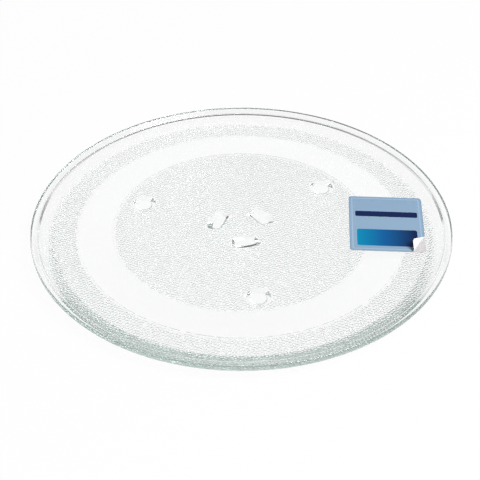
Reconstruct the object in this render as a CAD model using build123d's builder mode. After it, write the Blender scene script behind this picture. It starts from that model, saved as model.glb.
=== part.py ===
from build123d import *
import os
from math import cos, hypot, radians, sin, tan

# Glass turntable plate of a microwave oven, with the paper label still stuck on its top.
# Millimetres, +Z up. The origin is on the plate's axis, level with the bottom of the feet.
# One drive lug and one foot point to -Y, and the others follow at equal turns.

# Driving dimensions of the plate's turned section
plate_diameter = 288.0
floor_thickness = 6.0
rim_rise = 3.6  # top of the rim above the top of the floor
rim_foot_width = 5.8  # outer wall to the corner where the rim meets the floor
rim_top_width = 4.5  # outer wall to the inner edge of the rim's top
rim_outer_round = 1.8
rim_inner_chamfer = 0.5
turn_up_width = 15.8  # outer wall to where the underside leaves the flat and climbs to the rim
turn_up_slope = 19.0  # degrees
turn_up_round = 1.5  # from the climbing underside into the outer wall

# Driving dimensions of the smooth ring that the rollers run on
track_inner_diameter = 176.8
track_outer_diameter = 224.6
track_height = 0.4  # below the rest of the underside
track_edge_slope = 68.0  # degrees from the axis

# Driving dimensions of the lugs that the drive coupler turns
lug_count = 3
lug_height = 2.8
lug_hub_diameter = 24.0  # between the flat inner ends, across the axis
lug_outer_diameter = 47.0
lug_inner_width = 15.0
lug_flare = 20.0  # degrees that each side turns away from the lug's middle line
lug_draft = 30.0  # degrees, inner end and sides
lug_end_slope = 38.0  # degrees, outer end
lug_corner_round = 2.4
lug_tip_round = 0.8

# Driving dimensions of the feet
foot_count = 3
foot_height = 4.0
foot_diameter = 16.0  # where the side meets the underside
foot_circle_diameter = 148.0
foot_draft = 33.0  # degrees
foot_tip_round = 0.8

# Driving dimensions of the label
label_width = 51.0
label_length = 61.0
label_thickness = 0.15
label_corner_round = 2.5
label_inset = 38.3  # corner where the rim meets the floor to the label's centre
label_bearing = -9.0  # degrees about the axis, from +X
label_turn = -11.8  # degrees, the label's own turn from the X axis
fold_on_side = 19.5  # lifted corner, along the label's long edge
fold_on_end = 10.0  # lifted corner, along the label's short edge
curl_radius = 1.2
curl_angle = 116.0  # degrees
curl_steps = 6  # flats that make up the bend
curl_tip_width = 0.6

# Heights and radii that follow from them
underside_z = foot_height
floor_top_z = underside_z + floor_thickness
rim_top_z = floor_top_z + rim_rise
track_z = underside_z - track_height
track_edge_run = track_height * tan(radians(track_edge_slope))
outer_radius = plate_diameter / 2
track_inner_radius = track_inner_diameter / 2
track_outer_radius = track_outer_diameter / 2
turn_up_radius = outer_radius - turn_up_width
lip_z = underside_z + turn_up_width * tan(radians(turn_up_slope))
rim_top_inner_radius = outer_radius - rim_top_width
rim_foot_radius = outer_radius - rim_foot_width
lug_inner_distance = lug_hub_diameter / 2
lug_outer_radius = lug_outer_diameter / 2
lug_reach = lug_outer_radius + lug_height  # beyond the sloping outer end
lug_reach_width = lug_inner_width + 2 * (lug_reach - lug_inner_distance) * tan(radians(lug_flare))
lug_end_run = lug_height / tan(radians(lug_end_slope))
foot_circle_radius = foot_circle_diameter / 2
quarter_turn = 90.0  # degrees
front = -quarter_turn  # -Y, about the plate's axis
front_below = quarter_turn  # -Y, on a plane that faces down
same = 0.001  # two heights nearer than this are the same

# The label's lifted corner, in the label's own plane: the fold runs from fold_start to fold_end
corner = Vector(label_width / 2, -label_length / 2)
fold_start = corner - Vector(fold_on_end, 0)
fold_end = corner + Vector(0, fold_on_side)
fold_length = hypot(fold_on_end, fold_on_side)
fold_along = (fold_end - fold_start).normalized()
fold_across = fold_along.rotate(Axis.Z, -quarter_turn)
corner_along = (corner - fold_start).dot(fold_along)
corner_across = (corner - fold_start).dot(fold_across)
curl_reach = corner_across * (1 - curl_tip_width / fold_length)
bend_length = curl_radius * radians(curl_angle)
curl_distances = [bend_length * step / curl_steps for step in range(curl_steps + 1)]
curl_distances.append(curl_reach)

os.makedirs("parts", exist_ok=True)

# Planes: the underside of the floor, facing down, and the label's place on the floor
underside = Plane(origin=(0, 0, underside_z), x_dir=(1, 0, 0), z_dir=(0, 0, -1))
label_centre = Vector(rim_foot_radius - label_inset, 0, floor_top_z).rotate(Axis.Z, label_bearing)
label_plane = Plane(origin=label_centre, x_dir=Vector(1, 0, 0).rotate(Axis.Z, label_turn))

# One lug, pointing along X: flared sides, and an outer end that slopes like a cone about the plate's axis
with BuildPart() as lug:
    with BuildSketch(underside):
        with BuildLine():
            Polyline(
                (lug_inner_distance, -lug_inner_width / 2),
                (lug_inner_distance, lug_inner_width / 2),
                (lug_reach, lug_reach_width / 2),
                (lug_reach, -lug_reach_width / 2),
                close=True,
            )
        make_face()
    extrude(amount=lug_height, taper=lug_draft)
    with Locations(underside):
        Cone(
            lug_outer_radius,
            lug_outer_radius - lug_end_run,
            lug_height,
            align=(Align.CENTER, Align.CENTER, Align.MIN),
            mode=Mode.INTERSECT,
        )
    corners = lug.edges().filter_by(lambda edge: abs((edge @ 1).Z - (edge @ 0).Z) > same)
    fillet(corners, lug_corner_round)
    fillet(lug.faces().sort_by(Axis.Z)[0].edges(), lug_tip_round)

# Plate: turned section with the roller track, then lugs and feet under it
with BuildPart() as glass_plate:
    with BuildSketch(Plane.XZ) as section:
        with BuildLine():
            Polyline(
                (0, underside_z),
                (track_inner_radius, underside_z),
                (track_inner_radius + track_edge_run, track_z),
                (track_outer_radius - track_edge_run, track_z),
                (track_outer_radius, underside_z),
                (turn_up_radius, underside_z),
                (outer_radius, lip_z),
                (outer_radius, rim_top_z),
                (rim_top_inner_radius, rim_top_z),
                (rim_foot_radius, floor_top_z),
                (0, floor_top_z),
                close=True,
            )
        make_face()
        fillet(section.vertices().sort_by_distance((outer_radius, lip_z))[0], turn_up_round)
        fillet(section.vertices().sort_by_distance((outer_radius, rim_top_z))[0], rim_outer_round)
        chamfer(section.vertices().sort_by_distance((rim_top_inner_radius, rim_top_z))[0], rim_inner_chamfer)
    revolve(axis=Axis.Z)
    with PolarLocations(0, lug_count, start_angle=front):
        add(lug.part)
    with BuildSketch(underside):
        with PolarLocations(foot_circle_radius, foot_count, start_angle=front_below):
            Circle(foot_diameter / 2)
    extrude(amount=foot_height, taper=foot_draft)
    foot_tips = glass_plate.faces().sort_by(Axis.Z)[:foot_count]
    fillet(foot_tips.edges(), foot_tip_round)


def curl_section(distance):
    """Place and width of the cut across the lifted corner, at a distance from the fold along the paper."""
    turn = min(distance, bend_length) / curl_radius
    straight = max(distance - bend_length, 0)
    forward = curl_radius * sin(turn) + straight * cos(turn)
    lift = curl_radius * (1 - cos(turn)) + straight * sin(turn)
    left = corner_along * distance / corner_across
    width = fold_length * (1 - distance / corner_across)
    place = fold_start + fold_along * (left + width / 2) + fold_across * forward
    place += Vector(0, 0, lift + label_thickness / 2)
    outward = fold_across * cos(turn) + Vector(0, 0, sin(turn))
    return label_plane * Plane(origin=place, x_dir=fold_along, z_dir=outward), width


# Label: a rounded rectangle whose one corner has come off the glass and stands up
with BuildPart() as label:
    with BuildSketch(label_plane):
        RectangleRounded(label_width, label_length, label_corner_round)
        with BuildLine():
            Polyline(fold_start, corner, fold_end, close=True)
        make_face(mode=Mode.SUBTRACT)
    extrude(amount=label_thickness)
    for distance in curl_distances:
        section_place, section_width = curl_section(distance)
        with BuildSketch(section_place):
            Rectangle(section_width, label_thickness)
    loft(ruled=True)

glass_plate.part.label = "glass_plate"
label.part.label = "label"
export_step(glass_plate.part, "parts/glass_plate.step")
export_step(label.part, "parts/label.step")
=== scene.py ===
import math

import bmesh
import bpy
import numpy as np
from mathutils import Matrix, Vector, geometry, kdtree


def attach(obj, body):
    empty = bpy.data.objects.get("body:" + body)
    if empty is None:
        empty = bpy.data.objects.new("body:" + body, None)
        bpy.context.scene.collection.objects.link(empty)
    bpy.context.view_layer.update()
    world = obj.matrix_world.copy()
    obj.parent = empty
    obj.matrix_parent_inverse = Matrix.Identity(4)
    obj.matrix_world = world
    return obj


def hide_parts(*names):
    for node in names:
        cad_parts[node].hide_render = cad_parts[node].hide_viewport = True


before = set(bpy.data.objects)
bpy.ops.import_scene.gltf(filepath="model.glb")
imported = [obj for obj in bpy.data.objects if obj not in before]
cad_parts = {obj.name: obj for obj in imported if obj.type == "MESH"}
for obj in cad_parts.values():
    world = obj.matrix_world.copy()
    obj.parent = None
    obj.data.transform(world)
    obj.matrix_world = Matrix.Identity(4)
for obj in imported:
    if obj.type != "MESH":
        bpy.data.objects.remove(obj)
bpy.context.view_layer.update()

# Glass turntable plate with a paper label: metres, +Z up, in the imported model's own frame.
MM = 0.001
SAME = 1e-6  # lengths that differ by less are the same
ROUGHLY = 1e-5  # the same, for lengths measured on facets
ONE_POINT = 1e-9  # plan points that are nearer are one point
SEAM_DIGITS = 7  # decimals that tell the turned section's points apart
SEED = 7
WHITE = (1, 1, 1, 1)
BLACK = (0, 0, 0, 1)

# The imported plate's turned section
UNDERSIDE_Z = 4.0 * MM
FLOOR_TOP_Z = 10.0 * MM
TRACK_INNER_R = 88.4 * MM

# The visible plate's own rounds and facets
LIP_ROUND = 2.0 * MM  # from the climbing underside into the outer wall
RIM_ROUND = 0.8 * MM  # from the outer wall into the rim's top
TURN_STEPS = 900  # facets round the plate
ARC_STEPS = 6  # facets on each of the two rounds
SHARP_EDGE = math.radians(32)  # an edge that turns more stays sharp

# Pebbles pressed into the underside
PEBBLE_PITCH = 2.4 * MM
PEBBLE_SHAKE = 0.65 * MM  # how far a pebble is from its place in an even pattern
PEBBLE_HEIGHT = 0.3 * MM
PEBBLE_RING = 0.62  # the points on a pebble's flank, between its middle and its corners
PEBBLE_FADE = 1.2 * MM  # over this distance from a smooth border the pebbles get lower
PEBBLE_END_R = 137.0 * MM
PEBBLE_END_FADE = 8.0 * MM  # over this distance from the end radius they get lower too
PEBBLE_TURN = math.radians(30)  # of the even pattern, from the X axis
BORDER_GAP = 0.4 * MM  # no point of a pebble is nearer to a smooth border
BORDER_REACH = 2 * PEBBLE_PITCH  # border edges that a pebble's edge may cut start within this distance

# Glass, with the faint haze that wiping leaves on it
GLASS_IOR = 1.5
GLASS_TINT = (0.04, 0.33, 0.23, 1)
GLASS_DENSITY = 3.6
HAZE_SCALE = 60
HAZE_DETAIL = 4
HAZE_RANGE = (0.4, 0.8)  # of the noise, from clear glass to full haze
HAZE_COLOUR = (0.03, 0.03, 0.03, 1)  # its level is the roughness at full haze

# The label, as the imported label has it
LABEL_WIDTH = 51.0 * MM
LABEL_LENGTH = 61.0 * MM
LABEL_THICKNESS = 0.15 * MM
LABEL_ROUND = 2.5 * MM
LABEL_DISTANCE = 99.9 * MM
LABEL_BEARING = math.radians(-9.0)
LABEL_TURN = math.radians(-11.8)
FOLD_ON_SIDE = 19.5 * MM
FOLD_ON_END = 10.0 * MM
CURL_RADIUS = 1.2 * MM
CURL_ANGLE = math.radians(116.0)

# The visible label's own gaps and steps
LABEL_GAP = 0.01 * MM  # between the glass and the paper or the grey sheet of painted shadow
# Painted shadow: a thin grey sheet on the glass under the lifted corner, with its thickness and its start
# past the fold
PAINTED_SHADOW_THICKNESS = 0.03 * MM
PAINTED_SHADOW_FROM = 0.8 * MM  # from the fold
WHOLE_LABEL = -1.0  # a distance before the fold that takes in all of the label
ROUND_STEPS = 10
BEND_STEPS = 10
FLAP_STEPS = 8
FLAP_STEP = 1.0 * MM

# The label's print, in millimetres from its near left corner, with colours in levels of 0 to 255
PRINT_EDGE = 0.25
LINE_INSET = 2.2
LINE_WIDTH = 0.7
LINE_COLOUR = (172, 195, 221)
BORDER_WIDTH = 0.5
BORDER_COLOUR = (132, 160, 186)
FIELD_COLOURS = ((0.0, (146, 174, 198)), (0.5, (149, 178, 204)), (1.0, (145, 174, 202)))  # near to far
SMALL_BAR = ((25.8, 41.0), (43.0, 6.0), 1.2)  # middle, size and corner round
SMALL_BAR_COLOUR = (18, 36, 84)
LARGE_BAR = ((25.6, 14.6), (41.0, 18.0), 1.6)
LARGE_BAR_COLOURS = ((0.12, (0, 140, 184)), (0.45, (10, 96, 160)), (0.88, (14, 34, 78)))  # left to right

# Paper, and the grey sheet of painted shadow under the lifted corner
GRAIN_DETAIL = 6
GRAIN_HEIGHT = 0.05 * MM
GRAIN_RANGE = (0.3, 0.7)
PRINT_GRAIN = (1800, 0.25)  # scale and strength
PRINT_ROUGHNESS = 0.6
PRINT_SPECULAR = 0.08
PRINT_MOTTLE = (0.94, 0.94, 0.95, 1)
PLAIN_GRAIN = (900, 0.4)
PLAIN_SPECULAR = 0.2
BACK_COLOURS = ((244, 244, 243), (252, 252, 252))
BACK_ROUGHNESS = 0.7
# painted shadow: the grey sheet's colours where the lifted corner shades the glass
PAINTED_SHADOW_COLOURS = ((196, 194, 197), (216, 213, 215))
PAINTED_SHADOW_ROUGHNESS = 0.6

# Camera: it looks at the plate's axis, at the height where the roller ring appears through the glass
VIEW_AZIMUTH = math.radians(-8.6)
VIEW_ELEVATION = math.radians(37.77)
VIEW_DISTANCE = 817 * MM
VIEW_TARGET_Z = 7.12 * MM
PHOTO_SIDE = 480
FOCAL_PIXELS = 1182
TARGET_PIXEL = (241.35, 226.3)
SENSOR_MM = 36
CLIP_START = 0.01

# Floor: the white that shows through glass or in a mirror fades out between two distances from the axis
FLOOR_REACH = 6.0
FLOOR_COLOUR = (0.9, 0.9, 0.9, 1)
FLOOR_ROUGHNESS = 0.9
FLOOR_WHITE_FULL = 0.25
FLOOR_WHITE_END = 0.6
WHITE_SHARE = 0.96  # the rest of the floor's colour is lit, so that the shadow shows

# Room: grey, with a white backdrop beyond the plate that fades out upwards and sideways, as sines of angles
ROOM = (0.13, 0.13, 0.13, 1)
BACKDROP_TOP_FULL = 0.6
BACKDROP_TOP_END = 0.95
BACKDROP_SIDE_FULL = 0.3
BACKDROP_SIDE_END = 0.5
LAMP_PLACE = (0.71, -0.74, 1.3)
LAMP_SIZE = (0.9, 0.9)
LAMP_WATTS = 28
BOUNCES = 40


# Helpers for meshes

def new_object(name, mesh):
    """A mesh object in the scene."""
    piece = bpy.data.objects.new(name, mesh)
    bpy.context.scene.collection.objects.link(piece)
    return piece


def mesh_from(bm, name):
    """A mesh made from an edited one, which is freed."""
    mesh = bpy.data.meshes.new(name)
    bm.to_mesh(mesh)
    bm.free()
    return mesh


def shade_smooth(bm):
    """Turns the faces of a closed surface outward and smooths them, apart from its sharp edges."""
    bmesh.ops.recalc_face_normals(bm, faces=bm.faces)
    for face in bm.faces:
        face.smooth = True
    for edge in bm.edges:
        edge.smooth = edge.calc_face_angle(0) < SHARP_EDGE


def inside_loops(points, starts, ends):
    """Which plan points lie inside the region that the closed loops bound."""
    odd = np.zeros(len(points), bool)
    for (x0, y0), (x1, y1) in zip(starts, ends):
        if y0 == y1:
            continue
        crosses = (points[:, 1] < y0) != (points[:, 1] < y1)
        at = x0 + (points[:, 1] - y0) * (x1 - x0) / (y1 - y0)
        odd ^= crosses & (points[:, 0] < at)
    return odd


def triangulated(points, edges):
    """Points, faces and each point's origins, from plan points and the edges that have to stay."""
    places, _, faces, origins, _, _ = geometry.delaunay_2d_cdt(points, edges, [], 0, ONE_POINT, True)
    return places, faces, origins


def plan_tree(points):
    """A search tree of plan points."""
    tree = kdtree.KDTree(len(points))
    for i, (x, y) in enumerate(points):
        tree.insert((x, y, 0), i)
    tree.balance()
    return tree


# Plate

def arc(middle, radius, first, last):
    """Points on an arc of the turned section."""
    angles = np.linspace(first, last, ARC_STEPS + 1)
    return middle + radius * np.column_stack((np.cos(angles), np.sin(angles)))


def section_points(mesh):
    """Radius and height along the turned section, from the track's inner edge round the rim to the floor."""
    co = np.array([v.co for v in mesh.vertices])
    seam = co[(np.abs(co[:, 1]) < SAME) & (co[:, 0] > TRACK_INNER_R - SAME)][:, [0, 2]]
    seam = np.unique(np.round(seam, SEAM_DIGITS), axis=0)
    wall_r, top_z = seam.max(axis=0)
    below = seam[seam[:, 1] < FLOOR_TOP_Z - SAME]
    below = below[np.lexsort((below[:, 1], below[:, 0]))]
    flat = np.flatnonzero(np.abs(below[:, 1] - UNDERSIDE_Z) < SAME)[-1]
    slope = below[flat + 1] - below[flat]
    slope /= np.hypot(*slope)
    corner = below[flat] + slope * (wall_r - below[flat][0]) / slope[0]
    turn = math.acos(slope[1])
    lip_middle = (wall_r - LIP_ROUND, corner[1] + LIP_ROUND * math.tan(turn / 2))
    lip = arc(lip_middle, LIP_ROUND, -turn, 0)
    top = arc((wall_r - RIM_ROUND, top_z - RIM_ROUND), RIM_ROUND, 0, math.pi / 2)
    above = seam[seam[:, 1] >= FLOOR_TOP_Z - SAME]
    top_inner_r = above[above[:, 1] > top_z - SAME][:, 0].min()
    inner = above[above[:, 0] < top_inner_r + SAME]
    return np.concatenate((below[:flat + 1], lip, top, inner[inner[:, 0].argsort()[::-1]]))


def ring_loop(bm, radius, height):
    """New points round the axis."""
    turns = np.arange(TURN_STEPS) * 2 * math.pi / TURN_STEPS
    return [bm.verts.new((radius * math.cos(t), radius * math.sin(t), height)) for t in turns]


def strip(bm, low, high):
    """Faces between two rings."""
    for i in range(TURN_STEPS):
        j = (i + 1) % TURN_STEPS
        bm.faces.new((low[i], low[j], high[j], high[i]))


def shaken_pattern(reach):
    """Plan points in an even pattern of triangles, each moved a little at random."""
    rows = np.arange(-reach, reach, PEBBLE_PITCH * math.sqrt(3) / 2)
    places = []
    for i, y in enumerate(rows):
        x = np.arange(-reach, reach, PEBBLE_PITCH) + (i % 2) * PEBBLE_PITCH / 2
        places.append(np.column_stack((x, np.full(len(x), y))))
    places = np.concatenate(places)
    rng = np.random.default_rng(SEED)
    places += rng.uniform(-PEBBLE_SHAKE, PEBBLE_SHAKE, places.shape)
    cos, sin = math.cos(PEBBLE_TURN), math.sin(PEBBLE_TURN)
    return places @ np.array(((cos, sin), (-sin, cos)))


def circle_middles(a, b, c):
    """Middles of the circles through three points each."""
    ab, ac = b - a, c - a
    four_areas = 2 * (ab[:, 0] * ac[:, 1] - ab[:, 1] * ac[:, 0])
    ab2, ac2 = (ab**2).sum(1), (ac**2).sum(1)
    return a + np.column_stack((
        (ac[:, 1] * ab2 - ab[:, 1] * ac2) / four_areas,
        (ab[:, 0] * ac2 - ac[:, 0] * ab2) / four_areas,
    ))


def pebbles(reach):
    """Middles of the pebbles, corners where three meet, pairs of corners with an edge, and flank points."""
    middles, faces, _ = triangulated([Vector(p) for p in shaken_pattern(reach)], [])
    middles = np.array(middles)
    threes = np.array([face for face in faces if len(face) == 3])
    a, b, c = (middles[threes[:, k]] for k in range(3))
    corners = circle_middles(a, b, c)
    beside = {}
    for i, three in enumerate(threes):
        for k in range(3):
            side = tuple(sorted((three[k], three[(k + 1) % 3])))
            beside.setdefault(side, []).append(i)
    pairs = [pair for pair in beside.values() if len(pair) == 2]
    flanks = np.concatenate([m + PEBBLE_RING * (corners - m) for m in (a, b, c)])
    return middles, corners, pairs, flanks


def cuts_border(p, q, border_tree, starts, ends):
    """Whether the line between two plan points cuts a border edge that starts near it."""
    x, y = (p + q) / 2
    p, q = Vector(p), Vector(q)
    return any(geometry.intersect_line_line_2d(p, q, Vector(starts[i]), Vector(ends[i]))
               for _, i, _ in border_tree.find_range((x, y, 0), BORDER_REACH))


def pebbled_region(bm, loops, surface):
    """Fills the region between closed loops of points with pebbles that stand down from surface(radius)."""
    border = [v for loop in loops for v in loop]
    starts = np.array([v.co[:2] for v in border])
    ends = np.array([v.co[:2] for loop in loops for v in loop[1:] + loop[:1]])
    reach = math.sqrt(2) * np.abs(starts).max()  # the turned pattern still covers the region
    middles, corners, pairs, flanks = pebbles(reach)
    middle_tree, border_tree = plan_tree(middles), plan_tree(starts)

    plan = np.concatenate((corners, middles, flanks))
    keep = inside_loops(plan, starts, ends)
    gap = np.zeros(len(plan))
    for i in np.flatnonzero(keep):
        gap[i] = border_tree.find((plan[i][0], plan[i][1], 0))[2]
    keep &= gap > BORDER_GAP

    at = {v: i for i, v in enumerate(border)}
    edges = [(at[p], at[q]) for loop in loops for p, q in zip(loop, loop[1:] + loop[:1])]
    number = np.cumsum(keep) - 1 + len(border)
    for p, q in pairs:
        if keep[p] and keep[q] and not cuts_border(plan[p], plan[q], border_tree, starts, ends):
            edges.append((int(number[p]), int(number[q])))
    points = [Vector(p) for p in starts] + [Vector(p) for p in plan[keep]]
    gap = gap[keep]
    places, faces, origins = triangulated(points, edges)

    verts = []
    for place, origin in zip(places, origins):
        first = origin[0] if origin else len(points)
        if first < len(border):
            verts.append(border[first])
            continue
        (_, _, near), (_, _, next_near) = middle_tree.find_n((place[0], place[1], 0), 2)
        radius = math.hypot(*place)
        fade = min(1.0, gap[first - len(border)] / PEBBLE_FADE) if origin else 1.0
        fade *= min(1.0, (PEBBLE_END_R - radius) / PEBBLE_END_FADE)
        height = PEBBLE_HEIGHT * fade * (1 - (near / next_near) ** 2)
        verts.append(bm.verts.new((place[0], place[1], surface(radius) - height)))
    centres = np.array([np.mean([places[i] for i in face], axis=0) for face in faces])
    for face, here in zip(faces, inside_loops(centres, starts, ends)):
        if here:
            bm.faces.new([verts[i] for i in reversed(face)])


def boundary_loops(bm):
    """The open edges of a mesh as closed loops of points."""
    after = {}
    for edge in bm.edges:
        if edge.is_boundary:
            loop = edge.link_loops[0]
            after[loop.link_loop_next.vert] = loop.vert
    loops = []
    while after:
        start, at = after.popitem()
        loop = [start]
        while at is not start:
            loop.append(at)
            at = after.pop(at)
        loops.append(loop)
    return loops


def lugs_and_feet(cad, track_r):
    """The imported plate's lugs and feet alone, open where they meet the underside."""
    bm = bmesh.new()
    bm.from_mesh(cad)
    bmesh.ops.remove_doubles(bm, verts=bm.verts, dist=SAME)
    turned = [f for f in bm.faces if min(v.co.z for v in f.verts) > UNDERSIDE_Z - ROUGHLY
              or max(v.co.xy.length for v in f.verts) > track_r - ROUGHLY]
    bmesh.ops.delete(bm, geom=turned, context="FACES")
    return bm


def plate_mesh(cad):
    """The plate as packed, with a finer turned surface and real pebbles on its underside."""
    section = section_points(cad)
    bm = lugs_and_feet(cad, section[0][0])
    holes = boundary_loops(bm)

    # The outer pebbles lie between section points first and last; last is added at their end radius
    outward = np.flatnonzero((np.diff(section[:, 0]) > 0) & (section[1:, 1] < FLOOR_TOP_Z))
    first = 1 + max(i for i in outward if section[i, 1] < UNDERSIDE_Z - SAME)
    last = 1 + next(i for i in outward if section[i + 1, 0] > PEBBLE_END_R)
    before, after = section[last - 1], section[last]
    share = (PEBBLE_END_R - before[0]) / (after[0] - before[0])
    section = np.insert(section, last, before + share * (after - before), axis=0)
    zone = section[first:last + 1]

    rings = {i: ring_loop(bm, r, z) for i, (r, z) in enumerate(section) if not first < i < last}
    for i in range(len(section) - 1):
        if not first <= i < last:
            strip(bm, rings[i], rings[i + 1])
    pebbled_region(bm, [rings[first], rings[last]], lambda r: np.interp(r, zone[:, 0], zone[:, 1]))
    pebbled_region(bm, [rings[0]] + holes, lambda r: UNDERSIDE_Z)
    floor_ring = rings[len(section) - 1]
    centre = bm.verts.new((0, 0, section[-1][1]))
    for p, q in zip(floor_ring, floor_ring[1:] + floor_ring[:1]):
        bm.faces.new((p, q, centre))
    shade_smooth(bm)
    return mesh_from(bm, "pebbled_plate")


# Label

def label_outline():
    """The label's outline in its own plane with every corner down: a rectangle with round corners."""
    points = []
    for k, (side, end) in enumerate(((1, 1), (-1, 1), (-1, -1), (1, -1))):
        middle = Vector((side * (LABEL_WIDTH / 2 - LABEL_ROUND), end * (LABEL_LENGTH / 2 - LABEL_ROUND)))
        for step in range(ROUND_STEPS + 1):
            turn = (k + step / ROUND_STEPS) * math.pi / 2
            points.append(middle + LABEL_ROUND * Vector((math.cos(turn), math.sin(turn))))
    return points


class Fold:
    """The line where the label's one corner leaves the glass, in the label's own plane."""
    corner = Vector((LABEL_WIDTH / 2, -LABEL_LENGTH / 2))
    start = corner - Vector((FOLD_ON_END, 0))
    along = (corner + Vector((0, FOLD_ON_SIDE)) - start).normalized()
    across = Vector((along.y, -along.x))
    bend = CURL_RADIUS * CURL_ANGLE


def past_fold(place):
    """How far a place in the label's own plane is past the fold."""
    return (place - Fold.start).dot(Fold.across)


def on_glass(place, lift):
    """A place in the label's own plane and a height above the floor's top, in the plate's frame."""
    turned = Matrix.Rotation(LABEL_TURN, 2) @ place
    middle = LABEL_DISTANCE * Vector((math.cos(LABEL_BEARING), math.sin(LABEL_BEARING)))
    return (middle + turned).to_3d() + Vector((0, 0, FLOOR_TOP_Z + lift))


def curled(place, side):
    """Where a place of the label lies once its corner has lifted, on its upper (1) or lower (-1) side."""
    far = past_fold(place)
    half = LABEL_THICKNESS / 2
    if far <= 0:
        return on_glass(place, LABEL_GAP + half + side * half)
    turn = min(far, Fold.bend) / CURL_RADIUS
    straight = max(far - Fold.bend, 0)
    forward = CURL_RADIUS * math.sin(turn) + straight * math.cos(turn) - side * half * math.sin(turn)
    lift = CURL_RADIUS * (1 - math.cos(turn)) + straight * math.sin(turn) + side * half * math.cos(turn)
    return on_glass(place + Fold.across * (forward - far), LABEL_GAP + half + lift)


def on_painted_shadow(place, side):
    """Where a place of the grey sheet of painted shadow under the lifted corner lies, on its upper (1) or
    lower (-1) side.
    """
    return on_glass(place, LABEL_GAP + (side + 1) / 2 * PAINTED_SHADOW_THICKNESS)


def paper_mesh(name, put, first):
    """A thin sheet of the label's outline from a distance past the fold, placed by put(place, side)."""
    outline = label_outline()
    rows = [Fold.bend * k / BEND_STEPS for k in range(BEND_STEPS + 1)]
    rows += [Fold.bend + FLAP_STEP * k for k in range(1, FLAP_STEPS + 1)]
    points = list(outline)
    edges = [(i, (i + 1) % len(outline)) for i in range(len(outline))]
    for row in rows + [first]:
        edges.append((len(points), len(points) + 1))
        middle = Fold.start + Fold.across * row
        points += [middle - Fold.along * LABEL_LENGTH, middle + Fold.along * LABEL_LENGTH]
    plan, faces, _ = triangulated(points, edges)
    centres = [sum((plan[i] for i in face), Vector((0, 0))) / len(face) for face in faces]
    loop = np.array(outline)
    inside = inside_loops(np.array(centres), loop, np.roll(loop, -1, axis=0))
    kept = [face for face, c, here in zip(faces, centres, inside) if here and past_fold(c) > first]

    bm = bmesh.new()
    uv = bm.loops.layers.uv.new("sheet")
    used = sorted({i for face in kept for i in face})
    upper = {i: bm.verts.new(put(plan[i], 1)) for i in used}
    lower = {i: bm.verts.new(put(plan[i], -1)) for i in used}
    for face in kept:
        bm.faces.new([upper[i] for i in face])
        bm.faces.new([lower[i] for i in reversed(face)]).material_index = 1
    sides = {pair for face in kept for pair in zip(face, face[1:] + face[:1])}
    for a, b in sides:
        if (b, a) not in sides:
            bm.faces.new((upper[b], upper[a], lower[a], lower[b])).material_index = 1
    shade_smooth(bm)
    flat_place = {v: plan[i] for layer in (upper, lower) for i, v in layer.items()}
    for face in bm.faces:
        for corner in face.loops:
            place = flat_place[corner.vert]
            corner[uv].uv = (place.x / LABEL_WIDTH + 0.5, place.y / LABEL_LENGTH + 0.5)
    return mesh_from(bm, name)


# Helpers for materials

def srgb(levels):
    """A linear colour from levels of 0 to 255 as a screen shows them."""
    shares = [level / 255 for level in levels]
    return tuple(c / 12.92 if c <= 0.04045 else ((c + 0.055) / 1.055) ** 2.4 for c in shares) + (1,)


def new_material(name):
    """A material, its node tree and its shader."""
    material = bpy.data.materials.new(name)
    material.use_nodes = True
    return material, material.node_tree, material.node_tree.nodes["Principled BSDF"]


def set_values(node, **values):
    """Sets inputs of a node by their names, with _ for each space."""
    for name, value in values.items():
        node.inputs[name.replace("_", " ")].default_value = value


def calculate(tree, operation, *values):
    """A Math node; each value is a number or another node's output."""
    node = tree.nodes.new("ShaderNodeMath")
    node.operation = operation
    for socket, value in zip(node.inputs, values):
        if isinstance(value, (int, float)):
            socket.default_value = value
        else:
            tree.links.new(value, socket)
    return node.outputs[0]


def clamped(tree, value):
    """A value kept between 0 and 1."""
    return calculate(tree, "MINIMUM", calculate(tree, "MAXIMUM", value, 0.0), 1.0)


def falling(tree, value, full, end):
    """1 as far as one value, and down to 0 at another."""
    return clamped(tree, calculate(tree, "DIVIDE", calculate(tree, "SUBTRACT", end, value), end - full))


def ramp(tree, value, stops):
    """A colour ramp over a value, from (position, colour) stops."""
    node = tree.nodes.new("ShaderNodeValToRGB")
    elements = node.color_ramp.elements
    while len(elements) < len(stops):
        elements.new(0.5)
    for element, (position, colour) in zip(elements, stops):
        element.position = position
        element.color = colour
    tree.links.new(value, node.inputs["Fac"])
    return node.outputs["Color"]


def mix(tree, share, under, over):
    """One colour over another."""
    node = tree.nodes.new("ShaderNodeMix")
    node.data_type = "RGBA"
    tree.links.new(share, node.inputs["Factor"])
    for socket, colour in ((node.inputs["A"], under), (node.inputs["B"], over)):
        if isinstance(colour, tuple):
            socket.default_value = colour
        else:
            tree.links.new(colour, socket)
    return node.outputs["Result"]


def multiplied(tree, colour, by):
    """One colour multiplied by another."""
    node = tree.nodes.new("ShaderNodeMix")
    node.data_type = "RGBA"
    node.blend_type = "MULTIPLY"
    node.inputs["Factor"].default_value = 1.0
    tree.links.new(colour, node.inputs["A"])
    tree.links.new(by, node.inputs["B"])
    return node.outputs["Result"]


def noise(tree, scale, detail):
    """A noise over the object's own coordinates."""
    node = tree.nodes.new("ShaderNodeTexNoise")
    set_values(node, Scale=scale, Detail=detail)
    place = tree.nodes.new("ShaderNodeTexCoord")
    tree.links.new(place.outputs["Object"], node.inputs["Vector"])
    return node.outputs["Fac"]


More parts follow.
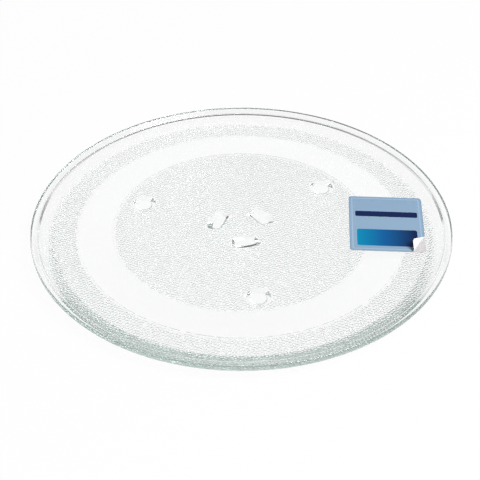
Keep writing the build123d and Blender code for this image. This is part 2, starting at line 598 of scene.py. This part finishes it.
def rounded_bar(tree, x, y, middle, size, corner):
    """Signed distance from a bar with round corners, in millimetres."""
    past = []
    for value, place, length in zip((x, y), middle, size):
        away = calculate(tree, "ABSOLUTE", calculate(tree, "SUBTRACT", value, place))
        past.append(calculate(tree, "SUBTRACT", away, length / 2 - corner))
    outside = [calculate(tree, "MAXIMUM", p, 0.0) for p in past]
    squares = [calculate(tree, "MULTIPLY", p, p) for p in outside]
    far = calculate(tree, "SQRT", calculate(tree, "ADD", *squares))
    inside = calculate(tree, "MINIMUM", calculate(tree, "MAXIMUM", *past), 0.0)
    return calculate(tree, "SUBTRACT", calculate(tree, "ADD", far, inside), corner)


def covered(tree, distance):
    """1 inside a shape and 0 outside it, with a soft printed edge."""
    return clamped(tree, calculate(tree, "MULTIPLY_ADD", distance, -1 / PRINT_EDGE, 0.5))


def paper_grain(tree, shader, scale, strength):
    """Fine paper grain as bump on a shader; its noise is returned."""
    grain = noise(tree, scale, GRAIN_DETAIL)
    bump = tree.nodes.new("ShaderNodeBump")
    set_values(bump, Strength=strength, Distance=GRAIN_HEIGHT)
    tree.links.new(grain, bump.inputs["Height"])
    tree.links.new(bump.outputs["Normal"], shader.inputs["Normal"])
    return grain


# Materials

def glass_material():
    """Green-tinted clear glass with a faint haze."""
    material, tree, shader = new_material("pressed_glass")
    set_values(shader, Base_Color=WHITE, IOR=GLASS_IOR, Transmission_Weight=1.0)
    haze = ramp(tree, noise(tree, HAZE_SCALE, HAZE_DETAIL), tuple(zip(HAZE_RANGE, (BLACK, HAZE_COLOUR))))
    tree.links.new(haze, shader.inputs["Roughness"])
    volume = tree.nodes.new("ShaderNodeVolumeAbsorption")
    set_values(volume, Color=GLASS_TINT, Density=GLASS_DENSITY)
    tree.links.new(volume.outputs["Volume"], tree.nodes["Material Output"].inputs["Volume"])
    return material


def printed_material():
    """Blue label print: a field of colour with a paler line near its edge and two plain bars."""
    material, tree, shader = new_material("printed_paper")
    set_values(shader, Roughness=PRINT_ROUGHNESS, Specular_IOR_Level=PRINT_SPECULAR)
    grain = paper_grain(tree, shader, *PRINT_GRAIN)
    sheet = tree.nodes.new("ShaderNodeUVMap")
    sheet.uv_map = "sheet"
    split = tree.nodes.new("ShaderNodeSeparateXYZ")
    tree.links.new(sheet.outputs["UV"], split.inputs[0])
    u, v = split.outputs["X"], split.outputs["Y"]
    size = (LABEL_WIDTH / MM, LABEL_LENGTH / MM)
    centre = (size[0] / 2, size[1] / 2)
    x, y = calculate(tree, "MULTIPLY", u, size[0]), calculate(tree, "MULTIPLY", v, size[1])

    colour = ramp(tree, v, [(at, srgb(levels)) for at, levels in FIELD_COLOURS])
    edge = rounded_bar(tree, x, y, centre, size, LABEL_ROUND / MM)
    inset = calculate(tree, "ABSOLUTE", calculate(tree, "ADD", edge, LINE_INSET))
    line = covered(tree, calculate(tree, "SUBTRACT", inset, LINE_WIDTH / 2))
    colour = mix(tree, line, colour, srgb(LINE_COLOUR))
    border = covered(tree, calculate(tree, "SUBTRACT", calculate(tree, "ABSOLUTE", edge), BORDER_WIDTH))
    colour = mix(tree, border, colour, srgb(BORDER_COLOUR))
    small_bar = covered(tree, rounded_bar(tree, x, y, *SMALL_BAR))
    colour = mix(tree, small_bar, colour, srgb(SMALL_BAR_COLOUR))
    large_bar = covered(tree, rounded_bar(tree, x, y, *LARGE_BAR))
    blend = ramp(tree, u, [(at, srgb(levels)) for at, levels in LARGE_BAR_COLOURS])
    colour = mix(tree, large_bar, colour, blend)
    mottle = ramp(tree, grain, tuple(zip(GRAIN_RANGE, (PRINT_MOTTLE, WHITE))))
    tree.links.new(multiplied(tree, colour, mottle), shader.inputs["Base Color"])
    return material


def plain_paper(name, colours, roughness):
    """Unprinted paper, or the grey sheet of painted shadow: two near colours that a fine grain mixes."""
    material, tree, shader = new_material(name)
    set_values(shader, Roughness=roughness, Specular_IOR_Level=PLAIN_SPECULAR)
    grain = paper_grain(tree, shader, *PLAIN_GRAIN)
    stops = tuple(zip(GRAIN_RANGE, (srgb(levels) for levels in colours)))
    tree.links.new(ramp(tree, grain, stops), shader.inputs["Base Color"])
    return material


def floor_material():
    """White to the eye and through the glass, with the plate's soft shadow still on it."""
    material, tree, shader = new_material("studio_floor")
    nodes, links = tree.nodes, tree.links
    set_values(shader, Base_Color=FLOOR_COLOUR, Roughness=FLOOR_ROUGHNESS, Specular_IOR_Level=0.0)
    white = nodes.new("ShaderNodeEmission")
    white.inputs["Strength"].default_value = 1.0
    path = nodes.new("ShaderNodeLightPath")
    place = nodes.new("ShaderNodeTexCoord")
    away = nodes.new("ShaderNodeVectorMath")
    away.operation = "LENGTH"
    links.new(place.outputs["Object"], away.inputs[0])
    near = falling(tree, away.outputs["Value"], FLOOR_WHITE_FULL, FLOOR_WHITE_END)
    through = calculate(tree, "MAXIMUM", path.outputs["Is Glossy Ray"], path.outputs["Is Transmission Ray"])
    through = calculate(tree, "MULTIPLY", through, near)
    seen = calculate(tree, "MAXIMUM", path.outputs["Is Camera Ray"], through)
    surface = nodes.new("ShaderNodeMixShader")
    links.new(calculate(tree, "MULTIPLY", seen, WHITE_SHARE), surface.inputs["Fac"])
    links.new(shader.outputs[0], surface.inputs[1])
    links.new(white.outputs[0], surface.inputs[2])
    links.new(surface.outputs[0], nodes["Material Output"].inputs["Surface"])
    return material


# Floor, light and camera

def studio_floor():
    """The plain floor that the plate stands on."""
    bm = bmesh.new()
    bmesh.ops.create_grid(bm, x_segments=1, y_segments=1, size=FLOOR_REACH)
    floor = new_object("floor", mesh_from(bm, "floor"))
    floor.data.materials.append(floor_material())


def part_along(tree, place, direction):
    """The part of a direction that lies along another one."""
    node = tree.nodes.new("ShaderNodeVectorMath")
    node.operation = "DOT_PRODUCT"
    node.inputs[1].default_value = direction
    tree.links.new(place, node.inputs[0])
    return node.outputs["Value"]


def room():
    """Grey all round, with a white backdrop beyond the plate."""
    world = bpy.data.worlds.new("room")
    bpy.context.scene.world = world
    world.use_nodes = True
    tree = world.node_tree
    place = tree.nodes.new("ShaderNodeTexCoord").outputs["Generated"]
    up = part_along(tree, place, (0, 0, 1))
    across = part_along(tree, place, (math.cos(VIEW_AZIMUTH), math.sin(VIEW_AZIMUTH), 0))
    beyond = part_along(tree, place, (-math.sin(VIEW_AZIMUTH), math.cos(VIEW_AZIMUTH), 0))
    sideways = calculate(tree, "ABSOLUTE", across)
    share = calculate(tree, "GREATER_THAN", beyond, 0.0)
    for fade in (falling(tree, up, BACKDROP_TOP_FULL, BACKDROP_TOP_END),
                 falling(tree, sideways, BACKDROP_SIDE_FULL, BACKDROP_SIDE_END)):
        share = calculate(tree, "MULTIPLY", share, fade)
    tree.links.new(mix(tree, share, ROOM, WHITE), tree.nodes["Background"].inputs["Color"])


def softbox():
    """One large soft lamp."""
    lamp = bpy.data.lights.new("softbox", "AREA")
    lamp.shape = "RECTANGLE"
    lamp.size, lamp.size_y = LAMP_SIZE
    lamp.energy = LAMP_WATTS
    light = bpy.data.objects.new("softbox", lamp)
    light.location = LAMP_PLACE
    light.rotation_euler = (-light.location).to_track_quat("-Z", "Y").to_euler()
    bpy.context.scene.collection.objects.link(light)


def photo_camera():
    """The camera at the photograph's place, with its framing."""
    camera = bpy.data.cameras.new("photo_camera")
    camera.sensor_width = SENSOR_MM
    camera.lens = FOCAL_PIXELS / PHOTO_SIDE * SENSOR_MM
    camera.shift_x = (PHOTO_SIDE / 2 - TARGET_PIXEL[0]) / PHOTO_SIDE
    camera.shift_y = (TARGET_PIXEL[1] - PHOTO_SIDE / 2) / PHOTO_SIDE
    camera.clip_start = CLIP_START
    eye = bpy.data.objects.new("photo_camera", camera)
    away = Vector((
        math.sin(VIEW_AZIMUTH) * math.cos(VIEW_ELEVATION),
        -math.cos(VIEW_AZIMUTH) * math.cos(VIEW_ELEVATION),
        math.sin(VIEW_ELEVATION),
    ))
    eye.location = Vector((0, 0, VIEW_TARGET_Z)) + away * VIEW_DISTANCE
    eye.rotation_euler = (-away).to_track_quat("-Z", "Y").to_euler()
    bpy.context.scene.collection.objects.link(eye)
    bpy.context.scene.camera = eye


plate = new_object("plate", plate_mesh(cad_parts["glass_plate"].data))
plate.data.materials.append(glass_material())
even = plate.modifiers.new("even_normals", "WEIGHTED_NORMAL")
even.keep_sharp = True
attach(plate, "root")
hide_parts("glass_plate")

label = new_object("paper_label", paper_mesh("paper_label", curled, WHOLE_LABEL))
label.data.materials.append(printed_material())
label.data.materials.append(plain_paper("paper_back", BACK_COLOURS, BACK_ROUGHNESS))
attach(label, "root")
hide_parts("label")

# A thin grey sheet on the glass under the lifted corner: painted shadow of the flap
painted_shadow_piece = new_object("painted_shadow_sheet", paper_mesh("painted_shadow_sheet", on_painted_shadow, PAINTED_SHADOW_FROM))
painted_shadow_paper = plain_paper("painted_shadow_paper", PAINTED_SHADOW_COLOURS, PAINTED_SHADOW_ROUGHNESS)
for _ in range(2):  # one slot for the upper side and one for the rest
    painted_shadow_piece.data.materials.append(painted_shadow_paper)
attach(painted_shadow_piece, "root")

studio_floor()
room()
softbox()
photo_camera()
bpy.context.scene.view_settings.view_transform = "Standard"
light_paths = bpy.context.scene.cycles
light_paths.max_bounces = BOUNCES
light_paths.glossy_bounces = BOUNCES
light_paths.transmission_bounces = BOUNCES
